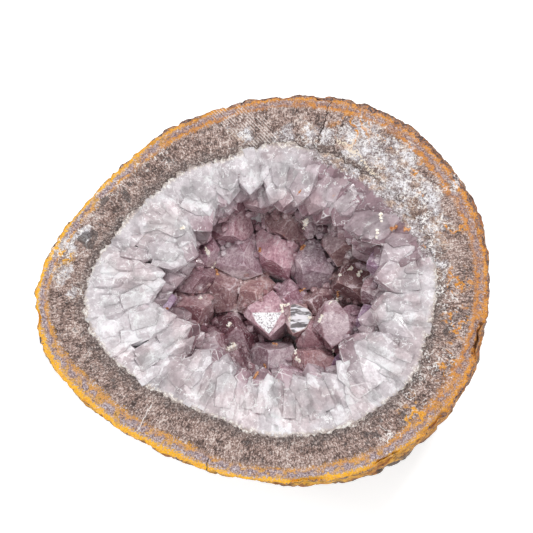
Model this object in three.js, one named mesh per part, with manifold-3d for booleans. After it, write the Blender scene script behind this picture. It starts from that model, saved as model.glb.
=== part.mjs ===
// Half of a small amethyst geode, sawn flat and resting on its rounded back.
//
// Millimetres, +Z up. The origin is the middle of the flat patch that it rests on, the sawn
// face looks straight up at z = height, and +X runs along its longer width.
//
// Three kinds of piece make it: the rock shell, the white quartz that coats the hollow, and the
// crystals that grew on that coat. Rim crystals lie level and were sawn through with the rock.
// Amethyst points stand on the wall and the floor below them.

import * as THREE from "three";
import { mergeVertices } from "three/addons/utils/BufferGeometryUtils.js";
import Module from "manifold-3d";

const wasm = await Module();
wasm.setup();

// Driving dimensions.
const height = 44; // from the resting patch to the sawn face
const rockFloor = 11; // rock below the hollow
const coatFloor = 4; // white quartz on the floor of the hollow
const coatRim = 4.5; // white quartz at the sawn face
const gap = 0.3; // clearance between two pieces that touch
const sides = 48; // facets around the shell and the coat

// Radii of the two sawn outlines every 15 degrees, anticlockwise from +X.
const rockEdge = [
  53.8, 54.2, 53.4, 52.5, 50.5, 48.0, 45.6, 44.6, 44.8, 44.8, 46.6, 50.5,
  54.4, 54.3, 50.6, 47.4, 45.1, 45.1, 45.7, 47.5, 50.0, 51.9, 53.3, 54.0,
];
const quartzEdge = [
  42.0, 41.3, 38.6, 37.5, 35.9, 35.6, 34.7, 32.6, 34.2, 35.0, 36.4, 39.5,
  43.0, 41.9, 38.6, 35.0, 33.1, 33.0, 35.0, 36.4, 38.6, 40.1, 42.0, 40.8,
];

// Heights of the rings up the outside, and slopes of the rings up the hollow.
const outsideHeights = [0, 1.6, 4, 8, 13, 19, 25, 31, 36, 40, height];
const hollowSlopes = [90, 70, 51, 33, 16, 0].map(THREE.MathUtils.degToRad);

// Shape of the outside: how square its side is, and how far it swells below the sawn edge.
const roundness = 2.3;
const roundDepth = height + 2;
const swell = { amount: 0.012, depth: 9, spread: 7 };
const hollowRoundness = 0.85;

// Quartz crystals.
const pointSlope = THREE.MathUtils.degToRad(38.2); // between a point's face and its axis
const crystalLength = 36;
const taper = 0.17; // widening per millimetre towards the wall
const steepestLean = 52; // degrees, for a point at the wall
const wallRadius = 26;

// Rim crystals: direction and radius of the tip, its depth below the sawn face, half width.
const rimCrystals = [
  [5, 26.9, 1.5, 4.4],
  [26, 26.4, 1.0, 5.2],
  [41, 23.0, 1.2, 4.8],
  [52, 20.6, 5.0, 3.0],
  [62, 20.4, 5.0, 3.3],
  [76, 19.4, 2.2, 4.4],
  [97, 25.6, 1.6, 4.0],
  [114, 22.0, 2.0, 3.6],
  [131, 18.8, 1.6, 4.6],
  [151, 17.6, 1.6, 5.8],
  [175, 24.0, 1.6, 4.8],
  [193, 25.2, 1.2, 4.4],
  [209, 17.6, 2.6, 5.2],
  [235, 17.2, 2.6, 5.4],
  [257, 19.6, 2.0, 4.4],
  [270, 18.8, 3.0, 3.6],
  [283, 19.8, 2.0, 4.2],
  [299, 23.0, 1.8, 4.6],
  [325, 22.8, 1.8, 6.0],
  [350, 26.6, 1.2, 4.6],
];

// Amethyst points: tip x, y, z, half width and how dark the crystal is, from 0 to 1. A point
// that lies over has two more values: its lean and its heading, in degrees.
const amethystPoints = [
  [-7.0, 20.5, 36.5, 4.0, 0.5],
  [-1.5, 21.0, 37.0, 4.0, 0.55],
  [3.5, 15.0, 30.5, 4.7, 0.85],
  [10.0, 17.0, 33.0, 4.3, 1.0],
  [15.0, 18.5, 37.5, 3.0, 0.6],
  [18.0, 14.5, 35.0, 4.2, 0.35],
  [-8.0, 14.5, 32.5, 4.3, 0.6],
  [-5.5, 7.5, 30.5, 5.6, 0.15],
  [1.5, 8.5, 30.0, 5.6, 0.35],
  [9.0, 5.5, 30.5, 5.6, 0.7],
  [15.5, 9.5, 31.5, 4.8, 0.75],
  [21.5, 10.5, 35.0, 4.2, 0.6],
  [25.0, 6.0, 38.5, 3.3, 0.5],
  [-14.0, 9.5, 33.5, 4.2, 0.45],
  [-15.5, 4.5, 33.0, 4.4, 0.3],
  [-21.5, 3.5, 37.5, 3.8, 0.55],
  [-21.5, -1.5, 37.0, 4.2, 0.5, 60, 10],
  [-15.5, -3.5, 32.0, 5.2, 0.75],
  [-9.0, 1.5, 29.5, 4.8, 0.7],
  [-3.0, 1.0, 28.5, 4.8, 0.2],
  [4.0, -1.0, 28.0, 4.6, 0.6],
  [11.0, -1.5, 29.0, 5.0, 0.75],
  [17.5, 3.0, 31.0, 4.5, 0.6],
  [23.5, 0.0, 35.5, 4.3, 0.65],
  [0.6, -9.8, 28.5, 5.6, 0.4, 48, 272],
  [-7.5, -8.0, 29.0, 5.4, 0.9],
  [6.2, -9.4, 29.0, 3.6, 0.9, 44, 250],
  [10.0, -8.0, 29.5, 4.6, 0.6],
  [16.5, -6.0, 31.5, 5.0, 0.7],
  [22.5, -7.0, 36.0, 4.3, 0.5],
  [16.0, -13.0, 33.0, 4.1, 0.5, 50, 262],
  [9.5, -14.5, 32.0, 4.9, 0.6],
  [0.5, -13.8, 31.0, 5.2, 0.25],
  [-7.0, -14.0, 32.5, 4.6, 0.8],
  [-12.5, -10.5, 33.5, 4.3, 0.5],
  [4.0, -18.5, 35.5, 4.0, 0.5],
  [17.0, -16.5, 37.5, 4.0, 0.55],
];

// Colours and finish.
const rockFinish = { color: 0x7d685c, roughness: 0.78, metalness: 0 };
const coatFinish = { color: 0xcfc8cb, roughness: 0.35, metalness: 0 };
const rimFinish = { color: 0xddd6da, roughness: 0.22, metalness: 0 };
const paleAmethyst = new THREE.Color(0xb9a3ae);
const darkAmethyst = new THREE.Color(0x523a42);
const amethystFinish = { roughness: 0.15, metalness: 0 };

// Small repeatable generator, so that every crystal differs and every build is the same.
let seed = 7;
function chance(low, high) {
  seed = (seed * 16807) % 2147483647;
  return low + (high - low) * (seed / 2147483647);
}

// Radius of an outline at any angle: a smooth closed curve through its listed radii.
function radiusAt(outline, angle) {
  const count = outline.length;
  const place = (((angle / (2 * Math.PI)) * count) % count + count) % count;
  const first = Math.floor(place);
  const t = place - first;
  const [a, b, c, d] = [-1, 0, 1, 2].map((step) => outline[(first + step + count) % count]);
  return b + 0.5 * t * (c - a + t * (2 * a - 5 * b + 4 * c - d + t * (3 * (b - c) + d - a)));
}

// Radius of the weathered outside at a height. Low lumps fade out at the sawn edge.
function outsideRadius(angle, z) {
  const below = height - z;
  const round = (1 - (below / roundDepth) ** roundness) ** (1 / roundness);
  const swollen = 1 + swell.amount * Math.exp(-(((below - swell.depth) / swell.spread) ** 2));
  const lumps =
    0.8 * Math.sin(3 * angle + 0.11 * z + 1) +
    0.6 * Math.sin(5 * angle - 0.16 * z) +
    0.4 * Math.sin(8 * angle + 0.23 * z + 2);
  return radiusAt(rockEdge, angle) * round * swollen + lumps * Math.min(1, below / 14);
}

// Rings of a bowl-shaped wall, from its deepest point up to the sawn face. The wall stands
// inset from the line where rock meets quartz, and reaches depth below the sawn face.
function bowlRings(inset, depth) {
  return hollowSlopes.map((slope) => ({
    z: height - depth * Math.sin(slope),
    radius: (angle) =>
      (radiusAt(quartzEdge, angle) - inset) * Math.max(0, Math.cos(slope)) ** hollowRoundness,
  }));
}

const onAxis = (z) => ({ z, radius: () => 0 });

// Welds a geometry to shared vertices and drops the flat triangles at its poles.
function welded(source) {
  const plain = source.clone();
  plain.deleteAttribute("normal");
  plain.deleteAttribute("uv");
  const geometry = mergeVertices(plain);
  const kept = [];
  for (let i = 0; i < geometry.index.count; i += 3) {
    const [a, b, c] = [0, 1, 2].map((corner) => geometry.index.getX(i + corner));
    if (a !== b && b !== c && c !== a) kept.push(a, b, c);
  }
  geometry.setIndex(kept);
  return geometry;
}

// A closed body turned through rings that start and end on the axis, each ring reshaped from
// a circle to its own outline.
function turned(rings) {
  const profile = rings.map(({ z, radius }) => new THREE.Vector2(radius(0) > 1e-6 ? 1 : 0, z));
  const geometry = new THREE.LatheGeometry(profile, sides);
  geometry.rotateX(Math.PI / 2);
  const { position, uv } = geometry.attributes;
  for (let i = 0; i < position.count; i += 1) {
    const ring = rings[Math.round(uv.getY(i) * (rings.length - 1))];
    const angle = Math.atan2(position.getY(i), position.getX(i));
    const radius = ring.radius(angle);
    position.setXYZ(i, radius * Math.cos(angle), radius * Math.sin(angle), ring.z);
  }
  return welded(geometry);
}

function toSolid(geometry) {
  return new wasm.Manifold(
    new wasm.Mesh({
      numProp: 3,
      vertProperties: new Float32Array(geometry.attributes.position.array),
      triVerts: new Uint32Array(geometry.index.array),
    }),
  );
}

function toGeometry(solid) {
  const { vertProperties, triVerts } = solid.getMesh();
  const geometry = new THREE.BufferGeometry();
  geometry.setAttribute("position", new THREE.BufferAttribute(vertProperties, 3));
  geometry.setIndex(new THREE.BufferAttribute(triVerts, 1));
  return geometry;
}

// Cuts away what lies beyond a plane, given its outward normal and a point on it.
function cutBeyond(solid, normal, point) {
  return solid.trimByPlane([-normal.x, -normal.y, -normal.z], -normal.dot(point));
}

// Rock shell: outside, sawn rim, then the hollow down to the axis.
const rockHollow = height - rockFloor;
const rockShell = turned([
  onAxis(0),
  ...outsideHeights.map((z) => ({ z, radius: (angle) => outsideRadius(angle, z) })),
  ...bowlRings(0, rockHollow).reverse(),
]);

// Quartz coat: it lines the shell all over, and its own hollow holds the crystals.
const coatHollow = rockHollow - coatFloor;
const quartzCoat = turned([
  ...bowlRings(gap, rockHollow - gap),
  ...bowlRings(coatRim, coatHollow).reverse(),
]);

// The room that the crystals fill. Its flat top is the saw cut.
const room = toSolid(turned([...bowlRings(coatRim + gap, coatHollow - gap), onAxis(height)]));

// A rim crystal points level at the middle of the geode, or a little upwards.
function rimCrystal([direction, tipRadius, depth, halfWidth]) {
  const angle = THREE.MathUtils.degToRad(direction);
  const inward = new THREE.Vector3(-Math.cos(angle), -Math.sin(angle), chance(-0.02, 0.14));
  return {
    tip: new THREE.Vector3(tipRadius * Math.cos(angle), tipRadius * Math.sin(angle), height - depth),
    axis: inward.normalize(),
    halfWidth,
    spin: chance(0, Math.PI / 3),
  };
}

// An amethyst point leans towards the middle, more so the nearer it stands to the wall.
function amethystPoint([x, y, z, halfWidth, tone, lean, heading]) {
  const liesOver = lean !== undefined;
  const slope = (Math.hypot(x, y) / wallRadius) * steepestLean + chance(-7, 7);
  const leanAngle = THREE.MathUtils.degToRad(liesOver ? lean : slope);
  const inward = Math.atan2(-y, -x) + chance(-0.3, 0.3);
  const headingAngle = liesOver ? THREE.MathUtils.degToRad(heading) : inward;
  return {
    tip: new THREE.Vector3(x, y, z),
    axis: new THREE.Vector3(
      Math.sin(leanAngle) * Math.cos(headingAngle),
      Math.sin(leanAngle) * Math.sin(headingAngle),
      Math.cos(leanAngle),
    ),
    halfWidth,
    tone,
    spin: liesOver ? 0 : chance(0, Math.PI / 3),
  };
}

// The whole crystal before its neighbours crowd it: a six-sided prism that widens towards the
// wall, under a point of three large and three small faces. At zero spin a large face looks up.
function wholeCrystal({ tip, axis, halfWidth, spin }) {
  const tipCorner = halfWidth / Math.cos(Math.PI / 6);
  const rootCorner = tipCorner + taper * crystalLength;
  const prism = new THREE.CylinderGeometry(tipCorner, rootCorner, crystalLength, 6);
  prism.translate(0, -crystalLength / 2, 0);
  prism.rotateY(Math.PI / 6);

  const up = new THREE.Vector3(0, 0, 1).addScaledVector(axis, -axis.z).normalize();
  const side = new THREE.Vector3().crossVectors(axis, up);
  const across = up.clone().applyAxisAngle(axis, spin);
  const beside = side.clone().applyAxisAngle(axis, spin);
  const placement = new THREE.Matrix4().makeBasis(beside, axis, across).setPosition(tip);
  prism.applyMatrix4(placement);

  let solid = toSolid(welded(prism));
  for (let face = 0; face < 6; face += 1) {
    const outward = across.clone().applyAxisAngle(axis, (face * Math.PI) / 3);
    const normal = outward
      .multiplyScalar(Math.cos(pointSlope))
      .addScaledVector(axis, Math.sin(pointSlope));
    const rise = face % 2 === 0 ? chance(0, 0.12) : chance(0.2, 0.6);
    solid = cutBeyond(solid, normal, tip.clone().addScaledVector(axis, rise * halfWidth));
  }
  return solid;
}

// The middle of a crystal's head, from which it claims its share of the room.
function heartOf({ tip, axis, halfWidth }) {
  return tip.clone().addScaledVector(axis, -1.2 * halfWidth);
}

// A plane between each two crystals, nearer to the smaller one, keeps them apart.
function crowded(solid, crystal, neighbours) {
  const heart = heartOf(crystal);
  let left = solid;
  for (const neighbour of neighbours) {
    const normal = heartOf(neighbour).sub(heart);
    const distance = normal.length();
    normal.divideScalar(distance);
    const share =
      (distance + (crystal.halfWidth ** 2 - neighbour.halfWidth ** 2) / distance) / 2 - gap / 2;
    left = cutBeyond(left, normal, heart.clone().addScaledVector(normal, share));
  }
  return left;
}

const geode = new THREE.Group();

function addPiece(name, geometry, finish) {
  const piece = new THREE.Mesh(geometry, new THREE.MeshStandardMaterial(finish));
  piece.name = name;
  geode.add(piece);
}

function numbered(prefix, index) {
  return `${prefix}_${String(index + 1).padStart(2, "0")}`;
}

addPiece("rock_shell", rockShell, rockFinish);
addPiece("quartz_lining", quartzCoat, coatFinish);

const rim = rimCrystals.map(rimCrystal);
const points = amethystPoints.map(amethystPoint);
const crystals = [...rim, ...points];

function grown(crystal) {
  const neighbours = crystals.filter((other) => other !== crystal);
  return toGeometry(crowded(wholeCrystal(crystal), crystal, neighbours).intersect(room));
}

rim.forEach((crystal, index) => {
  addPiece(numbered("rim_crystal", index), grown(crystal), rimFinish);
});
points.forEach((crystal, index) => {
  const color = paleAmethyst.clone().lerp(darkAmethyst, crystal.tone);
  addPiece(numbered("amethyst_point", index), grown(crystal), { ...amethystFinish, color });
});

export default geode;
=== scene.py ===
"""Half of a small amethyst geode, sawn flat, resting on its rounded back. Metres, +Z up."""

import math
import random

import bmesh
import bpy
import numpy as np
from mathutils import Matrix, Vector, noise
from mathutils.bvhtree import BVHTree


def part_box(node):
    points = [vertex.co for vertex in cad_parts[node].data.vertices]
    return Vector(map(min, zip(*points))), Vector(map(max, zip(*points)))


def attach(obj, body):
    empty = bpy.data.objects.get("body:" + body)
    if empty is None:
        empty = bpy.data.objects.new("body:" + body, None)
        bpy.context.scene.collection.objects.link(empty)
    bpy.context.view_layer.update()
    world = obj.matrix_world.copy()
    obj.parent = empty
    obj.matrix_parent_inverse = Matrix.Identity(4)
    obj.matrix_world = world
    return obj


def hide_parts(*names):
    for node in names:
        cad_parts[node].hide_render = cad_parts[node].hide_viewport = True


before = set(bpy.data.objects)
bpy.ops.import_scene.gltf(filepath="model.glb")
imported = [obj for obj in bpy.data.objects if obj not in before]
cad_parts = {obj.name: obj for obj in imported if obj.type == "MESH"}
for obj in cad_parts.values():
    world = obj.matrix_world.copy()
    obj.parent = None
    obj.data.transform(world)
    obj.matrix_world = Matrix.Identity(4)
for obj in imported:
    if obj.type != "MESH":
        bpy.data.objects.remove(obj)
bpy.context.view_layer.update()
mm = 0.001


# ---------------------------------------------------------------------------------------
# Camera, light and floor
# The stone is looked at from almost straight above its sawn face, a little from the right
# and from in front, under wide soft light, on a plain white floor.

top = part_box("rock_shell")[1].z
view_centre = Vector((1.2 * mm, 5.1 * mm, top))
view_width = 126.6 * mm
view_distance = 0.5
view_heading = math.radians(35)
view_height = math.radians(81)

camera_data = bpy.data.cameras.new("camera")
camera_data.sensor_width = 36
camera_data.lens = 36 * view_distance / view_width
camera_data.clip_start = 0.02
camera = bpy.data.objects.new("camera", camera_data)
bpy.context.scene.collection.objects.link(camera)
towards_camera = Vector((
    math.cos(view_height) * math.sin(view_heading),
    -math.cos(view_height) * math.cos(view_heading),
    math.sin(view_height),
))
right = Vector((0, 1, 0)).cross(towards_camera).normalized()
picture_up = towards_camera.cross(right)
turn = Matrix((right, picture_up, towards_camera)).transposed().to_4x4()
camera.matrix_world = Matrix.Translation(view_centre + towards_camera * view_distance) @ turn
bpy.context.scene.camera = camera
bpy.context.scene.view_settings.view_transform = "Standard"


def softbox(name, place, size, watts):
    """A square lamp at a place, facing the middle of the stone."""
    lamp = bpy.data.lights.new(name, "AREA")
    lamp.shape = "SQUARE"
    lamp.size = size
    lamp.energy = watts
    lamp_object = bpy.data.objects.new(name, lamp)
    bpy.context.scene.collection.objects.link(lamp_object)
    away = Vector(place)
    aim = (Vector((0, 0, top / 2)) - away).to_track_quat("-Z", "Y").to_matrix().to_4x4()
    lamp_object.matrix_world = Matrix.Translation(away) @ aim


softbox("key_softbox", (0.26, 0.4, 0.75), 0.2, 3.9)
softbox("fill_softbox", (-0.22, -0.2, 0.85), 0.7, 1.8)
softbox("left_glint", (-0.5, 0.12, 0.5), 0.1, 0.5)
softbox("right_glint", (0.45, -0.3, 0.5), 0.1, 0.5)

world = bpy.data.worlds.new("studio")
bpy.context.scene.world = world
world.use_nodes = True
world.node_tree.nodes["Background"].inputs["Color"].default_value = (1, 1, 1, 1)
world.node_tree.nodes["Background"].inputs["Strength"].default_value = 0.46

floor_mesh = bmesh.new()
bmesh.ops.create_grid(floor_mesh, x_segments=1, y_segments=1, size=3)
floor_data = bpy.data.meshes.new("floor")
floor_mesh.to_mesh(floor_data)
floor = bpy.data.objects.new("floor", floor_data)
bpy.context.scene.collection.objects.link(floor)
paper = bpy.data.materials.new("white_paper")
paper.use_nodes = True
paper_shader = paper.node_tree.nodes["Principled BSDF"]
paper_shader.inputs["Base Color"].default_value = (0.9, 0.9, 0.9, 1)
paper_shader.inputs["Roughness"].default_value = 0.9
paper_shader.inputs["Emission Color"].default_value = (1, 1, 1, 1)
paper_shader.inputs["Emission Strength"].default_value = 0.45
floor_data.materials.append(paper)


# ---------------------------------------------------------------------------------------
# Rock shell
# One stone, sawn through: a thin weathered crust, two ochre lines with speckled agate
# between them, then a wide brown-grey rind of fine fibres that point at the hollow.

turns = 480
rim_rings = 26
outside_rings = 54
hollow_rings = 12
crust_relief = 0.42 * mm
crust_grain = 0.26 * mm
knob_height = 1.1 * mm
arris_chips = 0.7 * mm
edge_wander = 1.0 * mm
saw_pitch = 0.62 * mm
cloud_middle = 0.5
# Depth of the inner ochre line below the crust, in millimetres, every 30 degrees.
ochre_depths = [3.0, 3.8, 3.2, 2.3, 3.0, 2.6, 2.8, 4.4, 3.8, 3.0, 3.7, 4.3]
# Width of the dark crust outside the outer ochre line, as a share of that depth.
crust_shares = [0.12, 0.22, 0.26, 0.10, 0.04, -0.04, 0.0, -0.1, -0.12, -0.12, -0.08, 0.06]
# Notches broken out of the sawn edge: direction and half width in degrees, depth, reach.
notches = [
    (346, 5.0, 2.2, 3.2), (11, 1.6, 0.8, 1.6), (187, 2.0, 1.0, 1.5), (73, 1.5, 0.9, 1.4),
    (306, 4.0, 1.4, 1.8), (283, 5.0, 1.0, 1.4), (36, 2.5, 0.7, 1.2), (322, 3.0, 1.2, 1.5),
]


def colour(red, green, blue):
    """A colour given as it looks on a screen, from 0 to 255, as linear light."""
    return tuple(
        ((c / 255 + 0.055) / 1.055) ** 2.4 if c > 10 else c / 255 / 12.92
        for c in (red, green, blue)
    ) + (1.0,)


def solid_tree(node):
    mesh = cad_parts[node].data
    return BVHTree.FromPolygons(
        [v.co for v in mesh.vertices], [p.vertices[:] for p in mesh.polygons]
    )


def outwards(angle):
    return Vector((math.cos(angle), math.sin(angle), 0))


def measured_radii(node, heights, from_outside):
    """Radii of a CAD wall at some heights, every degree round the axis, facets rounded off."""
    tree = solid_tree(node)
    table = np.zeros((len(heights), 360))
    for row, z in enumerate(heights):
        for degree in range(360):
            angle = math.radians(degree)
            out = outwards(angle)
            start = out * 0.2 if from_outside else Vector((0, 0, 0))
            ray = -out if from_outside else out
            hit = tree.ray_cast(start + Vector((0, 0, z)), ray)[0]
            table[row, degree] = Vector(hit[:2]).length if hit else 0
    weights = np.exp(-((np.arange(-6, 7) / 2.6) ** 2))
    weights /= weights.sum()
    return sum(w * np.roll(table, k, axis=1) for w, k in zip(weights, range(-6, 7)))


def read_round(values, angle):
    """Reads a list of values spaced evenly round the axis, eased between its entries."""
    place = (angle / (2 * math.pi)) % 1 * len(values)
    first = int(place)
    share = place - first
    share = share * share * (3 - 2 * share)
    return values[first % len(values)] * (1 - share) + values[(first + 1) % len(values)] * share


def read_degrees(row, angle):
    place = math.degrees(angle) % 360
    first = int(place) % 360
    share = place - int(place)
    return row[first] * (1 - share) + row[(first + 1) % 360] * share


def smooth_step(low, high, value):
    share = min(1, max(0, (value - low) / (high - low)))
    return share * share * (3 - 2 * share)


def grain_at(place, size, octaves=3):
    """Fractal noise around zero, with features of about the given size."""
    return noise.fractal(place / size, 0.9, 2.1, octaves)


def turned(profile, steps):
    """A profile of (share, height) points spun a full turn about the axis and closed."""
    mesh = bmesh.new()
    verts = [mesh.verts.new((share, 0, z)) for share, z in profile]
    edges = [mesh.edges.new(pair) for pair in zip(verts, verts[1:])]
    bmesh.ops.spin(
        mesh, geom=verts + edges, cent=(0, 0, 0), axis=(0, 0, 1), dvec=(0, 0, 0),
        angle=2 * math.pi, steps=steps, use_merge=True,
    )
    bmesh.ops.remove_doubles(mesh, verts=mesh.verts, dist=1e-7)
    return mesh


def finished(mesh, name, material, smooth=True):
    """Makes an object of a bmesh, with its material and its shading."""
    data = bpy.data.meshes.new(name)
    mesh.to_mesh(data)
    mesh.free()
    data.materials.append(material)
    data.polygons.foreach_set("use_smooth", [smooth] * len(data.polygons))
    piece = bpy.data.objects.new(name, data)
    bpy.context.scene.collection.objects.link(piece)
    return piece


def paint(piece, name, values):
    """Stores one number for each vertex, for a material to read."""
    layer = piece.data.attributes.new(name, "FLOAT", "POINT")
    layer.data.foreach_set("value", np.asarray(values, np.float32))


def wander(angle):
    """How far the uneven line between rock and quartz strays from its outline."""
    out = outwards(angle)
    broad, sharp = grain_at(out + Vector((0, 0, 3)), 0.17), grain_at(out, 0.035, 4)
    return edge_wander * (0.8 * broad + sharp)


outside_heights = np.linspace(0.05 * mm, top - 0.05 * mm, 40)
outside_table = measured_radii("rock_shell", outside_heights, True)
quartz_edge = measured_radii("rock_shell", [top - 0.05 * mm], False)[0]
rock_edge = outside_table[-1]
hollow_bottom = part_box("quartz_lining")[0].z


def outside_radius(z, angle):
    place = min(max((z - outside_heights[0]) / (outside_heights[1] - outside_heights[0]), 0), 38.99)
    row = int(place)
    share = place - row
    low, high = (read_degrees(outside_table[r], angle) for r in (row, row + 1))
    return low * (1 - share) + high * share


def notch_at(angle, reach_in):
    """How deep a notch bites at a direction and a distance in from the sawn edge."""
    bite = 0
    for middle, half, depth, reach in notches:
        off = abs((math.degrees(angle) - middle + 180) % 360 - 180)
        ragged = 1 + 0.5 * noise.noise(Vector((middle, off * 1.5, reach_in / mm)))
        beside = smooth_step(1.25, 0.5, off / half * ragged)
        bite = max(bite, depth * mm * beside * smooth_step(1.0, 0.1, reach_in / (reach * mm) * ragged))
    return bite


up_side = [top * math.sin(math.pi / 2 * k / outside_rings) for k in range(outside_rings)]
down_hollow = [math.pi / 2 * k / hollow_rings for k in range(1, hollow_rings + 1)]
profile = [(0, 0), (0.7, 0), (1.4, 0)]
profile += [(2, z) for z in up_side]
profile += [(2 - k / rim_rings, top) for k in range(rim_rings + 1)]
profile += [(math.cos(s), top - (top - hollow_bottom) * math.sin(s)) for s in down_hollow[:-1]]
profile += [(0, hollow_bottom)]
rind = turned(profile, turns)

for v in rind.verts:
    share = math.hypot(v.co.x, v.co.y)
    angle = math.atan2(v.co.y, v.co.x)
    z = v.co.z
    on_rim = z > top - 1e-6 and share > 0.9999
    inner = read_degrees(quartz_edge, angle) + wander(angle)
    if on_rim:
        radius = inner + (read_degrees(rock_edge, angle) - inner) * (share - 1)
    elif share > 1.99 or z < 1e-6:
        radius = outside_radius(z, angle) * share / 2
    else:
        radius = read_degrees(quartz_edge, angle) * share ** 0.85
    v.co = Vector((radius * math.cos(angle), radius * math.sin(angle), z))

rind.normal_update()
bmesh.ops.recalc_face_normals(rind, faces=rind.faces)
rind.normal_update()
crust_moves = []
for v in rind.verts:
    reach = math.hypot(v.co.x, v.co.y)
    angle = math.atan2(v.co.y, v.co.x)
    edge = read_degrees(rock_edge, angle)
    sawn = v.co.z > top - 1e-6
    outside = not sawn and reach > read_degrees(quartz_edge, angle) or v.co.z < hollow_bottom - mm
    move = Vector((0, 0, 0))
    if outside or (sawn and reach > edge - 1.6 * mm):
        rough = crust_relief * grain_at(v.co, 7 * mm) + crust_grain * grain_at(v.co, 1.6 * mm, 4)
        ridge = noise.voronoi(v.co / (4.5 * mm))[0]
        rough -= 0.35 * mm * smooth_step(0.25, 0.02, ridge[1] - ridge[0])
        knobs = noise.voronoi(v.co / (6.5 * mm))[0][0]
        lower = smooth_step(top - 3 * mm, top - 9 * mm, v.co.z)
        rough += lower * (knob_height * (0.45 - knobs) + 0.9 * mm * grain_at(v.co, 19 * mm))
        out = outwards(angle) if sawn else v.normal
        ease = smooth_step(edge - 1.6 * mm, edge, reach) if sawn else 1
        move += out * rough * ease
    if sawn:
        worn = max(0, grain_at(outwards(angle), 0.04) - 0.1)
        move.z -= arris_chips * worn * smooth_step(edge - 1.0 * mm, edge, reach)
        bite = notch_at(angle, edge - reach)
        move += -outwards(angle) * bite * 0.35
        move.z -= bite
        pits = noise.voronoi(v.co / (1.9 * mm))[0][0]
        move.z -= 0.10 * mm * smooth_step(0.25, 0.05, pits) + 0.03 * mm
    elif outside and v.co.z > top - 6 * mm:
        bite = notch_at(angle, 0) * smooth_step(top - 6 * mm, top, v.co.z)
        move += Vector((-math.cos(angle), -math.sin(angle), -0.6)) * bite * 0.5
    crust_moves.append(move)
for v, move in zip(rind.verts, crust_moves):
    v.co += move
    v.co.z = min(top, max(0, v.co.z))


def new_material(name):
    material = bpy.data.materials.new(name)
    material.use_nodes = True
    return material, material.node_tree, material.node_tree.nodes["Principled BSDF"]


def add(tree, kind, inputs=(), **settings):
    """Adds a node, sets it, and links or fills its inputs by name or number."""
    made = tree.nodes.new(kind)
    for key, value in settings.items():
        setattr(made, key, value)
    for key, value in dict(inputs).items():
        if isinstance(value, bpy.types.NodeSocket):
            tree.links.new(value, made.inputs[key])
        else:
            made.inputs[key].default_value = value
    return made


def mixed(tree, share, first, second, way="MIX"):
    """First colour turned into the second by a share."""
    inputs = {0: share, 6: first, 7: second}
    return add(tree, "ShaderNodeMix", inputs, data_type="RGBA", blend_type=way).outputs[2]


def ramped(tree, value, low, high, start=0.0, end=1.0):
    """A value carried from one range to another, and held at its ends."""
    inputs = {0: value, 1: low, 2: high, 3: start, 4: end}
    return add(tree, "ShaderNodeMapRange", inputs, interpolation_type="SMOOTHSTEP").outputs[0]


def maths(tree, operation, *numbers):
    return add(tree, "ShaderNodeMath", dict(enumerate(numbers)), operation=operation).outputs[0]


def sum_of(tree, first, second):
    return maths(tree, "ADD", first, second)


def less(tree, first, second):
    return maths(tree, "SUBTRACT", first, second)


def times(tree, first, second):
    return maths(tree, "MULTIPLY", first, second)


def strays(tree, value, strength):
    """How far a cloud strays from its middle value, at a strength."""
    return times(tree, less(tree, value, cloud_middle), strength)


def reach_along(tree, place, way):
    """How far a place lies along a direction."""
    return add(tree, "ShaderNodeVectorMath", {0: place, 1: way}, operation="DOT_PRODUCT").outputs["Value"]


def banded(tree, value, stops):
    """A colour ramp of (position, colour) stops."""
    ramp = add(tree, "ShaderNodeValToRGB", {0: value})
    elements = ramp.color_ramp.elements
    while len(elements) < len(stops):
        elements.new(0.5)
    for element, (position, shade) in zip(elements, stops):
        element.position = position
        element.color = shade
    return ramp.outputs[0]


def cloud(tree, where, scale, detail=3.0, rough=0.55):
    inputs = {"Vector": where, "Scale": scale, "Detail": detail, "Roughness": rough}
    return add(tree, "ShaderNodeTexNoise", inputs).outputs["Fac"]


def stored(tree, name):
    return add(tree, "ShaderNodeAttribute", attribute_name=name).outputs["Fac"]


def object_place(tree):
    return add(tree, "ShaderNodeTexCoord").outputs["Object"]


def polar_place(tree, round_scale, out_scale):
    """Object place as direction times one scale and radius times another, without a seam."""
    flat = add(tree, "ShaderNodeVectorMath", {0: object_place(tree), 1: (1, 1, 0)}, operation="MULTIPLY")
    reach = add(tree, "ShaderNodeVectorMath", {0: flat.outputs[0]}, operation="LENGTH").outputs["Value"]
    way = add(tree, "ShaderNodeVectorMath", {0: flat.outputs[0]}, operation="NORMALIZE").outputs[0]
    way = add(tree, "ShaderNodeVectorMath", {0: way, "Scale": round_scale}, operation="SCALE").outputs[0]
    lift = add(tree, "ShaderNodeCombineXYZ", {2: times(tree, reach, out_scale)}).outputs[0]
    return add(tree, "ShaderNodeVectorMath", {0: way, 1: lift}).outputs[0]


def bumped(tree, height, strength, distance):
    inputs = {"Height": height, "Strength": strength, "Distance": distance}
    return add(tree, "ShaderNodeBump", inputs).outputs[0]


def line_share(tree, start, end, width, wobble):
    """1 along a fine crooked line between two places on the sawn face, 0 away from it."""
    start, end = Vector((*start, 0)) * mm, Vector((*end, 0)) * mm
    along = (end - start).normalized()
    across = Vector((-along.y, along.x, 0))
    offset = {0: object_place(tree), 1: start}
    offset = add(tree, "ShaderNodeVectorMath", offset, operation="SUBTRACT").outputs[0]
    off = reach_along(tree, offset, across)
    run = reach_along(tree, offset, along)
    sway = strays(tree, cloud(tree, object_place(tree), 420, 3), wobble * mm)
    apart = maths(tree, "ABSOLUTE", sum_of(tree, off, sway))
    near = ramped(tree, apart, width * mm, width * 0.35 * mm)
    after = ramped(tree, run, -0.3 * mm, 0.2 * mm)
    before = ramped(tree, run, (end - start).length + 0.3 * mm, (end - start).length - 0.2 * mm)
    return times(tree, near, times(tree, after, before))


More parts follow.
